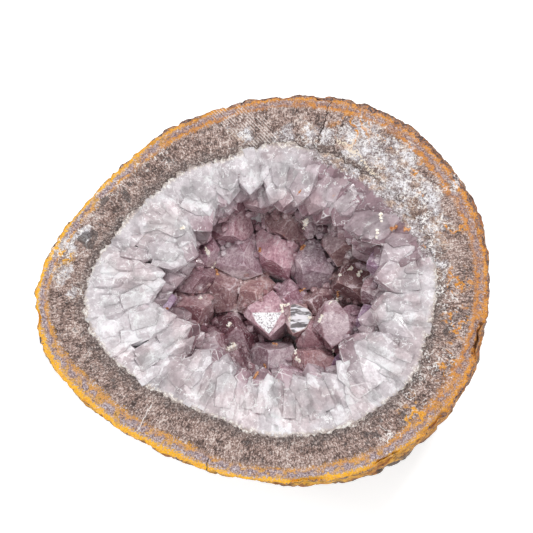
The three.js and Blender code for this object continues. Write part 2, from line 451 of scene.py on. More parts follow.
def thin_lines(tree, where, scale, width):
    """1 along fine crooked lines that cross a space at random, 0 between them."""
    off = less(tree, cloud(tree, where, scale, 3, 0.6), 0.5)
    off = maths(tree, "ABSOLUTE", off)
    return ramped(tree, off, width, width * 0.3)


def speckle_group(name):
    """Node group: chalky white and black specks with threads of white, as a colour and threads."""
    group = bpy.data.node_groups.new(name, "ShaderNodeTree")
    group.interface.new_socket("Colour", in_out="OUTPUT", socket_type="NodeSocketColor")
    group.interface.new_socket("Threads", in_out="OUTPUT", socket_type="NodeSocketFloat")
    leave = group.nodes.new("NodeGroupOutput")
    place = object_place(group)
    fine = cloud(group, place, 1900, 4, 0.75)
    grit = cloud(group, place, 3300, 2, 0.6)
    clumps = strays(group, cloud(group, place, 330, 5, 0.75), 0.55)
    specks = sum_of(group, times(group, fine, 0.6), times(group, grit, 0.4))
    specks = sum_of(group, specks, clumps)
    speckled = banded(group, specks, [
        (0.38, colour(84, 70, 70)), (0.45, colour(134, 120, 120)), (0.51, colour(170, 160, 161)),
        (0.57, colour(204, 198, 200)), (0.64, colour(244, 242, 246)),
    ])
    cream = ramped(group, cloud(group, place, 240, 4, 0.7), 0.48, 0.60, 0, 0.9)
    speckled = mixed(group, cream, speckled, mixed(group, 1.0, speckled, colour(240, 214, 188), "MULTIPLY"))
    orange = ramped(group, cloud(group, place, 380, 4, 0.7), 0.66, 0.70, 0, 0.8)
    speckled = mixed(group, orange, speckled, colour(206, 144, 76))
    group.links.new(speckled, leave.inputs["Colour"])
    threads = times(group, thin_lines(group, place, 400, 0.03), ramped(group, fine, 0.42, 0.50))
    group.links.new(threads, leave.inputs["Threads"])
    return group


chalk_speckle = speckle_group("chalk_speckle")
rock, tree, shader = new_material("banded_rock")
place = object_place(tree)
speckle = add(tree, "ShaderNodeGroup", node_tree=chalk_speckle)
fine = cloud(tree, place, 2000, 4, 0.75)
grit = cloud(tree, place, 3600, 2, 0.6)
medium = cloud(tree, place, 480, 4, 0.65)
broad = cloud(tree, place, 70, 3, 0.6)
hairs = cloud(tree, polar_place(tree, 140, 900), 1.0, 3, 0.7)
wide = cloud(tree, place, 210, 4, 0.7)
smears = cloud(tree, place, 260, 6, 0.78)
chalk = stored(tree, "chalk")
inward = stored(tree, "inward")

hatched = sum_of(tree, times(tree, fine, 0.44), times(tree, hairs, 0.34))
hatched = sum_of(tree, hatched, times(tree, grit, 0.22))
mottle = strays(tree, medium, 0.36)
mottle = sum_of(tree, mottle, strays(tree, wide, 0.22))
hatched = sum_of(tree, hatched, mottle)
rind_colour = banded(tree, hatched, [
    (0.41, colour(62, 46, 42)), (0.46, colour(106, 85, 78)), (0.505, colour(146, 121, 112)),
    (0.55, colour(184, 160, 152)), (0.61, colour(234, 224, 219)),
])
tan = mixed(tree, ramped(tree, medium, 0.46, 0.62, 0, 0.6), rind_colour, colour(176, 140, 118), "MULTIPLY")
rind_colour = mixed(tree, 0.5, rind_colour, tan)
near_quartz = ramped(tree, sum_of(tree, inward, times(tree, medium, 5.0)), 6.0, 2.4)
rind_colour = mixed(tree, times(tree, near_quartz, 0.75), rind_colour,
                    mixed(tree, ramped(tree, fine, 0.48, 0.60), colour(72, 60, 58), colour(150, 138, 134)))
agate = banded(tree, sum_of(tree, times(tree, fine, 0.6), times(tree, grit, 0.4)), [
    (0.41, colour(98, 78, 80)), (0.46, colour(136, 116, 120)),
    (0.53, colour(170, 152, 157)), (0.60, colour(218, 208, 211)),
])
sun_side = reach_along(tree, place, (0.75, 0.66, 0))
rust_side = ramped(tree, sun_side, -0.02, 0.03)
browner = times(tree, ramped(tree, medium, 0.44, 0.54), 0.8)
agate = mixed(tree, browner, agate, mixed(tree, 1.0, agate, colour(246, 228, 212), "MULTIPLY"))
agate = mixed(tree, rust_side, agate, mixed(tree, 1.0, agate, colour(250, 238, 226), "MULTIPLY"))
white_flecks = ramped(tree, fine, 0.62, 0.66)
dark_flecks = ramped(tree, grit, 0.36, 0.32)
ochre = mixed(tree, rust_side, colour(246, 184, 6), colour(220, 146, 36))
ochre = mixed(tree, ramped(tree, fine, 0.46, 0.60), ochre,
              mixed(tree, rust_side, colour(220, 146, 22), colour(176, 106, 48)))
ochre = mixed(tree, ramped(tree, grit, 0.54, 0.68, 0, 0.4), ochre, colour(236, 204, 140))
rust_mottle = times(tree, rust_side, ramped(tree, medium, 0.51, 0.40, 0, 0.8))
ochre = mixed(tree, rust_mottle, ochre, colour(134, 86, 54))
wobble = strays(tree, medium, 0.75)
wobble = sum_of(tree, wobble, strays(tree, fine, 1.1))
wobble = sum_of(tree, wobble, strays(tree, wide, 0.55))
bands = sum_of(tree, stored(tree, "band"), wobble)
after_crust = less(tree, bands, stored(tree, "crusted"))
crust = banded(tree, sum_of(tree, times(tree, fine, 0.5), times(tree, medium, 0.5)), [
    (0.40, colour(62, 46, 46)), (0.47, colour(108, 84, 78)), (0.52, colour(142, 112, 96)),
    (0.58, colour(176, 140, 110)), (0.64, colour(206, 184, 168)),
])
rust_specks = times(tree, rust_side, ramped(tree, fine, 0.52, 0.58, 0, 0.8))
crust = mixed(tree, rust_specks, crust, colour(204, 126, 44))
line_end = less(tree, bands, times(tree, stored(tree, "crusted"), 0.4))
outer_line = times(tree, ramped(tree, after_crust, -0.02, 0.05), ramped(tree, line_end, 0.45, 0.30))
inner_line = times(tree, ramped(tree, bands, 0.78, 0.92), ramped(tree, bands, 1.22, 1.04))
gaps = ramped(tree, cloud(tree, place, 190, 4, 0.7), 0.42, 0.54, 0.15, 0.9)
gaps = times(tree, gaps, ramped(tree, grit, 0.40, 0.56, 0.45, 1))
gaps = sum_of(tree, gaps, times(tree, rust_side, 0.3))
right_side = reach_along(tree, place, (0.97, -0.22, 0))
rusting = times(tree, ramped(tree, right_side, 0.040, 0.050), ramped(tree, wide, 0.50, 0.60, 0, 0.7))
agate = mixed(tree, times(tree, rusting, ramped(tree, medium, 0.42, 0.52)), agate, ochre)
agate = mixed(tree, ramped(tree, medium, 0.52, 0.62, 0, 0.55), agate, ochre)
face = mixed(tree, ramped(tree, bands, 0.86, 1.12), agate, rind_colour)
greyed = sum_of(tree, chalk, strays(tree, smears, 2.6))
face = mixed(tree, ramped(tree, greyed, 0.35, 0.85, 0, 0.9), face, speckle.outputs["Colour"])
face = mixed(tree, times(tree, white_flecks, 0.7), face, colour(232, 226, 224))
face = mixed(tree, times(tree, dark_flecks, 0.6), face, colour(58, 46, 44))
face = mixed(tree, times(tree, outer_line, 0.95), face, ochre)
face = mixed(tree, times(tree, inner_line, gaps), face, mixed(tree, 0.5, ochre, colour(196, 126, 56)))
stains = times(tree, ramped(tree, smears, 0.60, 0.68), ramped(tree, inward, 4.5, 7.5))
face = mixed(tree, times(tree, stains, 0.55), face, colour(184, 122, 70))
face = mixed(tree, ramped(tree, after_crust, 0.02, -0.06), face, crust)
chalky = ramped(tree, sum_of(tree, smears, times(tree, chalk, 0.30)), 0.76, 0.88)
chalky = times(tree, chalky, ramped(tree, fine, 0.42, 0.52))
face = mixed(tree, times(tree, chalky, 0.85), face, colour(234, 233, 238))
curls = times(tree, thin_lines(tree, place, 230, 0.05), ramped(tree, medium, 0.40, 0.48))
face = mixed(tree, times(tree, curls, stored(tree, "curled")), face, ochre)
threading = times(tree, stored(tree, "threaded"), ramped(tree, wide, 0.42, 0.58, 0.1, 0.9))
threading = sum_of(tree, ramped(tree, greyed, 0.1, 0.6, 0.1, 0.7), threading)
threads = times(tree, speckle.outputs["Threads"], threading)
face = mixed(tree, threads, face, colour(242, 238, 235))
# Painted shade: the sawn face is darkened in patches full of small pits, for the shade inside them.
pit_shade = sum_of(tree, stored(tree, "shaded_pits"), strays(tree, medium, 4.0))
face = mixed(tree, ramped(tree, pit_shade, 0.5, 0.9, 0, 0.75), face, colour(58, 50, 50))
face = mixed(tree, line_share(tree, (16.9, 45.6), (13.6, 34.6), 0.2, 2.6), face, colour(52, 34, 30))
face = mixed(tree, line_share(tree, (-13.4, -44.5), (-12.6, -40.2), 0.2, 1.4), face, colour(52, 40, 36))
vein = times(tree, line_share(tree, (18.5, 36.0), (27.5, 26.5), 0.7, 9.0), ramped(tree, fine, 0.44, 0.52))
face = mixed(tree, vein, face, colour(228, 212, 192))
face = mixed(tree, line_share(tree, (-26.0, -27.5), (-29.6, -33.6), 0.14, 1.4), face, colour(220, 212, 208))
saw_way = reach_along(tree, place, (0.72, 0.69, 0))
saw_lines = maths(tree, "SINE", times(tree, saw_way, 2 * math.pi / saw_pitch))
saw_lines = times(tree, ramped(tree, saw_lines, 0.55, 0.9), stored(tree, "sawn"))
saw_lines = times(tree, saw_lines, ramped(tree, medium, 0.42, 0.52))
face = mixed(tree, times(tree, saw_lines, 0.65), face, colour(236, 230, 226))
outside_mix = sum_of(tree, times(tree, medium, 0.5), times(tree, fine, 0.5))
weathered = banded(tree, outside_mix, [
    (0.38, colour(46, 36, 32)), (0.45, colour(92, 70, 56)), (0.50, colour(130, 100, 74)),
    (0.56, colour(166, 130, 92)), (0.64, colour(204, 184, 158)),
])
greyer = banded(tree, outside_mix, [
    (0.38, colour(50, 46, 44)), (0.46, colour(96, 88, 80)),
    (0.53, colour(136, 126, 114)), (0.62, colour(188, 180, 168)),
])
weathered = mixed(tree, ramped(tree, sum_of(tree, broad, mottle), 0.42, 0.62, 0, 0.85), weathered, greyer)
# Painted shade: the outer crust is darkened in the dips between its knobs.
hollow_shade = ramped(tree, stored(tree, "shaded_hollows"), 0.2, 0.75, 0, 0.55)
weathered = mixed(tree, hollow_shade, weathered, colour(66, 54, 46))
rusted = sum_of(tree, stored(tree, "rusty"), strays(tree, medium, 2.0))
weathered = mixed(tree, ramped(tree, rusted, 0.35, 0.75, 0, 0.85), weathered, ochre)
rusty_crust = mixed(tree, ramped(tree, rusted, 0.45, 0.85, 0, 0.9), crust, ochre)
weathered = mixed(tree, times(tree, stored(tree, "upper"), 0.8), weathered, rusty_crust)
flat_place = add(tree, "ShaderNodeMapping", {0: place, 3: (210, 210, 640)}).outputs[0]
cracks = times(tree, thin_lines(tree, flat_place, 1.0, 0.035), 0.75)
weathered = mixed(tree, cracks, weathered, colour(70, 44, 30))
browned = ramped(tree, cloud(tree, flat_place, 0.7, 3, 0.6), 0.46, 0.58, 0, 0.85)
weathered = mixed(tree, browned, weathered, mixed(tree, 1.0, weathered, colour(176, 132, 104), "MULTIPLY"))
face = mixed(tree, ramped(tree, stored(tree, "outside"), 0.3, 0.7), face, weathered)
tree.links.new(face, shader.inputs["Base Color"])
tree.links.new(ramped(tree, fine, 0.3, 0.7, 0.62, 0.86), shader.inputs["Roughness"])
relief = sum_of(tree, times(tree, fine, 0.6), times(tree, hairs, 0.4))
tree.links.new(bumped(tree, relief, 0.8, 0.3 * mm), shader.inputs["Normal"])

rock_piece = finished(rind, "banded_rind", rock)


# Without a number of its own this noise starts from the clock, and the patches would move.
patch_seed = 7
noise.seed_set(patch_seed)


def patch_share(place, patches):
    """How far a place lies inside the nearest of some ragged patches (x, y, radius) in mm."""
    place = place + noise.noise_vector(place / (5 * mm)) * 3 * mm + noise.noise_vector(place / (2 * mm)) * mm
    return max(
        smooth_step(1.0, 0.35, math.hypot(place.x / mm - x, place.y / mm - y) / radius)
        for x, y, radius in patches
    )


chalk_patches = [
    (24, 36, 8), (31, 30, 9), (36, 22, 9), (38, 13, 9), (41, 4, 6), (28, 23, 6), (14, 36, 6),
    (6, 37, 4), (-4, 38, 3), (-47, 10, 4), (-44, 13, 3), (-48, 4, 3), (-44, 0, 2.6), (-51, 13, 3),
    (46, 24, 4),
]
thread_patches = [
    (-47, 11, 6), (-36, 23, 5), (-30, 29, 4), (-42, 17, 4), (31, -34, 5), (37, -27, 6), (41, -19, 6),
    (46, -8, 5), (43, -2, 6), (38, 6, 6), (36, 14, 6), (-24, 32, 4),
]
curl_patches = [
    (47, -9, 5.5), (44, -18, 5), (47, 1, 4), (36, -30, 4), (22, 39, 6), (44, 14, 4), (38, 28, 4), (-49, 8, 4),
]
# Patches of small pits on the sawn face, painted dark as the shade inside them.
shaded_pit_patches = [
    (43.5, -11, 2.2), (34, -30, 1.6), (27, -34, 1.6), (-33, 22, 2.0), (-42, 12, 2.4), (-36, 16, 1.8),
    (-28, 29, 1.6), (38, -23, 1.4), (-23, 32, 1.2), (-38, 20, 1.5), (-31, 25, 1.3),
]
saw_patches = [(-8, 42, 7), (-2, 39, 6), (2, 36, 4)]
names = (
    "band", "inward", "chalk", "shaded_pits", "sawn", "threaded", "curled", "outside", "upper", "rusty", "crusted",
    "shaded_hollows",
)
values = {name: [] for name in names}
for v in rock_piece.data.vertices:
    reach = math.hypot(v.co.x, v.co.y)
    angle = math.atan2(v.co.y, v.co.x)
    edge_depth = (read_degrees(rock_edge, angle) - reach) / mm
    below = (top - v.co.z) / mm
    shallow = below < 1.5
    values["band"].append(min(edge_depth, 40) / read_round(ochre_depths, angle) - 0.2 * min(below, 2))
    values["crusted"].append(read_round(crust_shares, angle))
    values["inward"].append((reach - read_degrees(quartz_edge, angle)) / mm)
    values["chalk"].append(patch_share(v.co, chalk_patches) if shallow else 0)
    values["shaded_pits"].append(patch_share(v.co, shaded_pit_patches) if shallow else 0)
    values["sawn"].append(patch_share(v.co, saw_patches) if shallow else 0)
    values["threaded"].append(patch_share(v.co, thread_patches) if shallow else 0)
    values["curled"].append(patch_share(v.co, curl_patches) if shallow else 0)
    values["outside"].append(smooth_step(0.5, 1.6, below) if edge_depth < 3 or below > 5 else 0)
    values["upper"].append(smooth_step(9, 3, below))
    # Where the crust sinks between its knobs, for the painted shade there.
    values["shaded_hollows"].append(smooth_step(0.35, 0.8, noise.voronoi(v.co / (6.5 * mm))[0][0]))
    bright_side = smooth_step(-0.35, 0.25, -math.sin(angle + 0.35))
    values["rusty"].append(0.55 * smooth_step(9, 1, below) + 0.8 * bright_side * smooth_step(16, 3, below)
                           + 0.8 * grain_at(v.co, 12 * mm))
for name in names:
    paint(rock_piece, name, values[name])
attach(rock_piece, "root")
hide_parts("rock_shell")


# ---------------------------------------------------------------------------------------
# Quartz lining
# A coat of massive white quartz that grew on the rock: thousands of thin crystals side by
# side, all pointing inwards. The saw shows their lengths in a ring of milky columns.

lining_reach = 1.6 * mm
lining_rim_rings = 24
lining_wall_rings = 26
lining_relief = 0.4 * mm
lining_inner_edge = measured_radii("quartz_lining", [top - 0.05 * mm], False)[0]
lining_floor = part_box("quartz_lining")[0].z + 4 * mm


def dusty_share(angle):
    """How chalky and broken the coat is in a direction: only its upper right stretch is."""
    degrees = (math.degrees(angle) + 360) % 360
    return smooth_step(2, 16, degrees) * smooth_step(78, 62, degrees)


def quartz_body(name):
    """Node group: columns, blocks and veils of milky quartz, as a colour and a height."""
    group = bpy.data.node_groups.new(name, "ShaderNodeTree")
    for socket, side, kind in (
        ("Blush", "INPUT", "NodeSocketFloat"), ("Shade", "INPUT", "NodeSocketFloat"),
        ("Colour", "OUTPUT", "NodeSocketColor"), ("Height", "OUTPUT", "NodeSocketFloat"),
    ):
        group.interface.new_socket(socket, in_out=side, socket_type=kind)
    entry = group.nodes.new("NodeGroupInput")
    leave = group.nodes.new("NodeGroupOutput")
    place = object_place(group)
    warp = add(group, "ShaderNodeTexNoise", {"Vector": place, "Scale": 210, "Detail": 3}).outputs["Color"]
    warp = add(group, "ShaderNodeVectorMath", {0: warp, "Scale": 1.6}, operation="SCALE").outputs[0]

    def column_cells(round_scale, out_scale, feature="F1"):
        where = add(group, "ShaderNodeVectorMath", {0: polar_place(group, round_scale, out_scale), 1: warp})
        return add(group, "ShaderNodeTexVoronoi", {"Vector": where.outputs[0], "Scale": 1.0}, feature=feature)

    def first_channel(value):
        return add(group, "ShaderNodeSeparateColor", {0: value}).outputs[0]

    wide = first_channel(column_cells(9, 120).outputs["Color"])
    slim = first_channel(column_cells(26, 240).outputs["Color"])
    seams = column_cells(9, 120, "DISTANCE_TO_EDGE").outputs["Distance"]
    veil = cloud(group, place, 520, 5, 0.7)
    haze = cloud(group, place, 140, 4)
    grain = cloud(group, place, 1700, 3, 0.7)
    tone = sum_of(group, times(group, wide, 0.26), times(group, slim, 0.14))
    tone = sum_of(group, tone, times(group, veil, 0.6))
    tone = sum_of(group, tone, times(group, haze, 0.8))
    tone = sum_of(group, tone, times(group, grain, 0.35))
    tone = sum_of(group, tone, times(group, entry.outputs["Shade"], 0.22))
    tone = less(group, tone, 0.67)
    tint = banded(group, tone, [
        (0.14, colour(150, 141, 145)), (0.28, colour(174, 165, 169)), (0.40, colour(190, 182, 186)),
        (0.54, colour(209, 201, 205)), (0.70, colour(240, 236, 240)),
    ])
    warm = ramped(group, cloud(group, place, 90, 3), 0.48, 0.60, 0, 0.4)
    pink = mixed(group, warm, tint, mixed(group, 1.0, tint, colour(238, 216, 214), "MULTIPLY"))
    blushed = mixed(group, 1.0, pink, colour(190, 163, 170), "MULTIPLY")
    blushed = mixed(group, entry.outputs["Blush"], pink, blushed)
    vein = times(group, ramped(group, seams, 0.04, 0.01), ramped(group, veil, 0.50, 0.62, 0, 0.5))
    lined = mixed(group, vein, blushed, colour(252, 250, 250))
    flaws = times(group, thin_lines(group, place, 260, 0.012), ramped(group, veil, 0.42, 0.56, 0, 0.7))
    lined = mixed(group, flaws, lined, colour(252, 251, 252))
    stain = ramped(group, cloud(group, place, 300, 5, 0.75), 0.665, 0.73, 0, 0.55)
    lined = mixed(group, stain, lined, colour(206, 160, 128))
    group.links.new(lined, leave.inputs["Colour"])
    rise = sum_of(group, times(group, slim, 0.2), times(group, veil, 0.6))
    group.links.new(rise, leave.inputs["Height"])
    return group


def clouded_glass(shader, depth, weight=0.4):
    """Sets a shader as quartz: glassy skin over a body that light soaks into by about a depth."""
    shader.inputs["IOR"].default_value = 1.54
    shader.inputs["Subsurface Weight"].default_value = weight
    shader.inputs["Subsurface Radius"].default_value = (1.0, 0.85, 0.92)
    shader.inputs["Subsurface Scale"].default_value = depth


quartz_look = quartz_body("quartz_look")
milky, tree, shader = new_material("milky_quartz")
look = add(tree, "ShaderNodeGroup", node_tree=quartz_look)
tree.links.new(stored(tree, "blush"), look.inputs["Blush"])
tree.links.new(ramped(tree, stored(tree, "blush"), 0, 1, 0.4, -0.3), look.inputs["Shade"])
gritty = cloud(tree, object_place(tree), 1100, 4, 0.75)
edging = banded(tree, gritty, [
    (0.40, colour(104, 86, 80)), (0.47, colour(164, 146, 138)), (0.53, colour(206, 192, 184)),
    (0.60, colour(238, 232, 228)),
])
stained = sum_of(tree, stored(tree, "outer"), times(tree, gritty, 1.9))
body = mixed(tree, ramped(tree, stained, 1.45, 1.85), look.outputs["Colour"], edging)
speckle = add(tree, "ShaderNodeGroup", node_tree=chalk_speckle)
dusted = sum_of(tree, stored(tree, "dusty"), strays(tree, gritty, 2.5))
body = mixed(tree, ramped(tree, dusted, 0.3, 0.7), body, speckle.outputs["Colour"])
tree.links.new(body, shader.inputs["Base Color"])
shader.inputs["Roughness"].default_value = 0.34
clouded_glass(shader, 2.6 * mm)
tree.links.new(bumped(tree, look.outputs["Height"], 0.45, 0.3 * mm), shader.inputs["Normal"])

profile = [(0, hollow_bottom)]
profile += [(math.cos(s), top - (top - hollow_bottom) * math.sin(s)) for s in reversed(down_hollow[:-1])]
profile += [(2 - k / lining_rim_rings, top) for k in range(lining_rim_rings + 1)]
down_wall = [math.pi / 2 * k / lining_wall_rings for k in range(1, lining_wall_rings)]
profile += [(1 + math.cos(s), top - (top - lining_floor) * math.sin(s) - 1.0) for s in down_wall]
profile += [(0, lining_floor - 1.0)]
lining = turned(profile, turns)
for v in lining.verts:
    share = math.hypot(v.co.x, v.co.y)
    angle = math.atan2(v.co.y, v.co.x)
    outer_radius = read_degrees(quartz_edge, angle)
    inner_radius = read_degrees(lining_inner_edge, angle) - lining_reach
    z = v.co.z
    if z < -0.5:
        z += 1.0
        radius = inner_radius * max(0, share - 1) ** 0.85
    elif z > top - 1e-6:
        radius = inner_radius + (outer_radius + wander(angle) + 0.05 * mm - inner_radius) * (share - 1)
    else:
        radius = (outer_radius - 0.2 * mm) * share ** 0.85
    v.co = Vector((radius * math.cos(angle), radius * math.sin(angle), z))
bmesh.ops.recalc_face_normals(lining, faces=lining.faces)
for v in lining.verts:
    if v.co.z > top - 1e-6:
        angle = math.atan2(v.co.y, v.co.x)
        reach = math.hypot(v.co.x, v.co.y)
        column = Vector((math.cos(angle) * 10, math.sin(angle) * 10, reach / mm * 0.15))
        gaps, centres = noise.voronoi(column)
        step = noise.cell(centres[0] * 7.3)
        slope = (column - centres[0]).x
        groove = smooth_step(0.2, 0.0, gaps[1] - gaps[0])
        v.co.z -= lining_relief * (0.1 + 0.45 * abs(step) + 0.3 * slope + 0.3 * groove)
        lip = reach - read_degrees(lining_inner_edge, angle) + lining_reach + 1.5 * wander(angle)
        v.co.z -= 0.7 * mm * smooth_step(2.6 * mm, 0.2 * mm, lip)
        v.co.z = min(v.co.z, top)
lining_piece = finished(lining, "milky_quartz_coat", milky)
outer_values, dusty_values, blush_values = [], [], []
for v in lining_piece.data.vertices:
    angle = math.atan2(v.co.y, v.co.x)
    inside = (math.hypot(v.co.x, v.co.y) - read_degrees(quartz_edge, angle)) / mm
    outer_values.append(smooth_step(-3.2, 0.4, inside))
    dusty_values.append(dusty_share(angle) * smooth_step(-4.0, -1.2, inside))
    blush_values.append(dusty_share(angle))
paint(lining_piece, "outer", outer_values)
paint(lining_piece, "dusty", dusty_values)
paint(lining_piece, "blush", blush_values)
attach(lining_piece, "root")
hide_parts("quartz_lining")


# ---------------------------------------------------------------------------------------
# Quartz columns
# The free ends of the coat's own crystals: milky six-sided columns, packed side by side
# and level with the saw cut, which trimmed their upper sides.

crystal_seed = 5
column_count = 80
chance = random.Random(crystal_seed)


def grow_crystal(mesh, foot, way, half_width, length, blunt, roll):
    """A six-sided prism under a six-faced point, standing on its foot along a direction."""
    turn = way.to_track_quat("Z", "Y").to_matrix().to_4x4()
    place = Matrix.Translation(foot) @ turn @ Matrix.Rotation(roll, 4, "Z")
    made = bmesh.ops.create_cone(
        mesh, cap_ends=True, segments=6, radius1=half_width, radius2=half_width * 0.92, depth=length,
        matrix=place @ Matrix.Translation((0, 0, length / 2)),
    )["verts"]
    around = dict.fromkeys(f for v in made for f in v.link_faces)
    cap = max(around, key=lambda f: f.calc_center_median().dot(way))
    return made + bmesh.ops.poke(mesh, faces=[cap], offset=blunt)["verts"]


def trim_above(mesh, verts, point, normal):
    """Cuts one crystal of a mesh off flat where it rises beyond a plane."""
    # Kept in the order they are met: a set's order differs from run to run.
    faces = dict.fromkeys(f for v in verts for f in v.link_faces)
    edges = dict.fromkeys(e for v in verts for e in v.link_edges)
    cut = bmesh.ops.bisect_plane(
        mesh, geom=list(verts) + list(edges) + list(faces), dist=1e-7, plane_co=point,
        plane_no=normal, clear_outer=True,
    )
    rim = [part for part in cut["geom_cut"] if isinstance(part, bmesh.types.BMEdge)]
    if len(rim) > 2:
        bmesh.ops.edgeloop_fill(mesh, edges=rim)


def crystal_cluster(name, material, crystals):
    """One mesh of many small crystals; each brings its size, its place and its own numbers."""
    mesh = bmesh.new()
    shade_layer = mesh.verts.layers.float.new("shade")
    blush_layer = mesh.verts.layers.float.new("blush")
    facet_layer = mesh.verts.layers.float.new("facet")
    tint_layer = mesh.verts.layers.float_color.new("tint")
    for crystal in crystals:
        verts = grow_crystal(mesh, *crystal["shape"])
        for v in verts:
            v[shade_layer] = v[facet_layer] = crystal["shade"]
            v[blush_layer] = crystal.get("blush", 0.03)
            v[tint_layer] = crystal.get("tint", (1, 1, 1, 1))
        if "trim" in crystal:
            trim_above(mesh, verts, *crystal["trim"])
    bmesh.ops.recalc_face_normals(mesh, faces=mesh.faces)
    return finished(mesh, name, material, smooth=False)


columns, tree, shader = new_material("column_quartz")
look = add(tree, "ShaderNodeGroup", node_tree=quartz_look)
tree.links.new(stored(tree, "shade"), look.inputs["Shade"])
tree.links.new(stored(tree, "blush"), look.inputs["Blush"])
tree.links.new(look.outputs["Colour"], shader.inputs["Base Color"])
polish = ramped(tree, cloud(tree, object_place(tree), 300, 3), 0.35, 0.65, 0.14, 0.4)
tree.links.new(polish, shader.inputs["Roughness"])
clouded_glass(shader, 2.6 * mm)
tree.links.new(bumped(tree, look.outputs["Height"], 0.45, 0.3 * mm), shader.inputs["Normal"])


def standing_surface():
    """One tree of the lining and all large crystals, for finding the height of the ground."""
    corners, faces = [], []
    for name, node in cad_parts.items():
        if name != "rock_shell":
            first = len(corners)
            corners += [v.co.copy() for v in node.data.vertices]
            faces += [[first + k for k in p.vertices] for p in node.data.polygons]
    return BVHTree.FromPolygons(corners, faces)


ground = standing_surface()


def ground_height(x, y):
    hit = ground.ray_cast(Vector((x, y, top + 5 * mm)), Vector((0, 0, -1)))[0]
    return hit.z if hit else 0


pit_edge = []
for degree in range(360):
    out = Vector((math.cos(math.radians(degree)), math.sin(math.radians(degree)), 0))
    pit_edge.append(Vector(ground.ray_cast(Vector((0, 0, top - 2.4 * mm)), out)[0][:2]).length)

crystals = []
for k in range(column_count):
    angle = 2 * math.pi * (k + chance.random()) / column_count
    dusty = dusty_share(angle)
    depth_in = (chance.uniform(-0.2, 6.0) + 2.2 * dusty) * mm
    reach = read_degrees(quartz_edge, angle) + 0.5 * wander(angle) - depth_in
    room = reach - read_degrees(pit_edge, angle) - 1.0 * mm
    way_angle = angle + math.pi + chance.gauss(0, 0.14)
    dive = chance.uniform(-0.02, 0.12)
    level_share = math.cos(dive)
    way = Vector((math.cos(way_angle) * level_share, math.sin(way_angle) * level_share, -math.sin(dive)))
    half_width = chance.uniform(1.2, 3.4) * mm
    length = min(chance.uniform(3.0, 7.0) * mm, room - 1.6 * half_width)
    if length < 1.2 * mm:
        continue
    sunk = (chance.uniform(0.45, 0.95) * (1 - dusty) + 0.9 * dusty) * half_width
    foot = Vector((math.cos(angle) * reach, math.sin(angle) * reach, top - sunk))
    tilt = Vector((chance.gauss(0, 0.04), chance.gauss(0, 0.04), 1)).normalized()
    cut_at = foot + way * 2 * mm
    cut_at.z = top - chance.uniform(0.0, 0.22) * mm
    crystals.append({
        "shape": (foot, way, half_width, length, half_width * 1.5, chance.uniform(0, 1)),
        "shade": chance.random() * (1 - 0.9 * dusty), "blush": 0.03 + 0.97 * dusty, "trim": (cut_at, tilt),
    })
column_piece = crystal_cluster("quartz_columns", columns, crystals)
for v in column_piece.data.vertices:
    v.co.z = min(v.co.z, top)
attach(column_piece, "root")


# ---------------------------------------------------------------------------------------
# Rim crystals
# Large milky to clear quartz crystals that lie level and point into the hollow. The saw
# cut their tops off, and they broke into slightly tilted panes along their flaws.

growth = 0.17 * mm
edge_band = 0.22 * mm
edge_bevel = 0.07 * mm
scoop_size = 3.2 * mm
scoop_depth = 0.22 * mm
tip_reach = 14 * mm


def crystal_mesh(node):
    """A merged copy of a crystal's solid, its flat faces whole, grown to meet its neighbours."""
    mesh = bmesh.new()
    mesh.from_mesh(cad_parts[node].data)
    bmesh.ops.remove_doubles(mesh, verts=mesh.verts, dist=2e-6)
    bmesh.ops.dissolve_limit(
        mesh, angle_limit=math.radians(1.0), verts=mesh.verts[:], edges=mesh.edges[:]
    )
    mesh.normal_update()
    grown = [(v, v.normal * growth * min(v.calc_shell_factor(), 2.0)) for v in mesh.verts]
    for v, move in grown:
        v.co += move
    return mesh


def wear_edges(mesh):
    """Bevels a crystal's sharp edges, marks a band beside them that the materials whiten, partly as chipped
    frosting on the milky quartz and otherwise as painted highlight, and gives each face a random tone for a
    painted reflection.
    """
    sharp = [e for e in mesh.edges if len(e.link_faces) == 2 and e.calc_face_angle(0) > 0.12
             and e.calc_length() > 0.4 * mm]
    bmesh.ops.bevel(
        mesh, geom=sharp, offset=edge_bevel, segments=1, profile=0.5, affect="EDGES",
        material=-1, clamp_overlap=True,
    )
    edge_layer = mesh.verts.layers.float.new("edge")
    facet_layer = mesh.verts.layers.float.new("facet")
    for v in mesh.verts:
        v[edge_layer], v[facet_layer] = 1, 0.5
    wide = [f for f in mesh.faces if f.calc_area() > 1.2 * mm * mm]
    bmesh.ops.inset_individual(mesh, faces=wide, thickness=edge_band)
    # Painted reflection: each wide face gets its own random tone.
    for f in wide:
        tone = chance.random()
        for v in f.verts:
            v[edge_layer], v[facet_layer] = 0, tone
    bmesh.ops.triangulate(mesh, faces=mesh.faces[:])


def scoop(mesh):
    """Breaks the upper faces of a crystal into shallow shell-like scoops."""
    for limit in (2.4 * mm, 1.2 * mm):
        long = [
            e for e in mesh.edges
            if e.calc_length() > limit and e.verts[0].co.z + e.verts[1].co.z > 2 * top - 8 * mm
        ]
        bmesh.ops.subdivide_edges(mesh, edges=long, cuts=1, use_grid_fill=True)
        bmesh.ops.triangulate(mesh, faces=[f for f in mesh.faces if len(f.verts) > 3])
    for v in mesh.verts:
        near = noise.voronoi(v.co / scoop_size)[0][0]
        v.co.z -= scoop_depth * near * smooth_step(top - 7 * mm, top - 1 * mm, v.co.z)


def finish_crystal(mesh, name, material):
    bmesh.ops.recalc_face_normals(mesh, faces=mesh.faces)
    return finished(mesh, name, material, smooth=False)


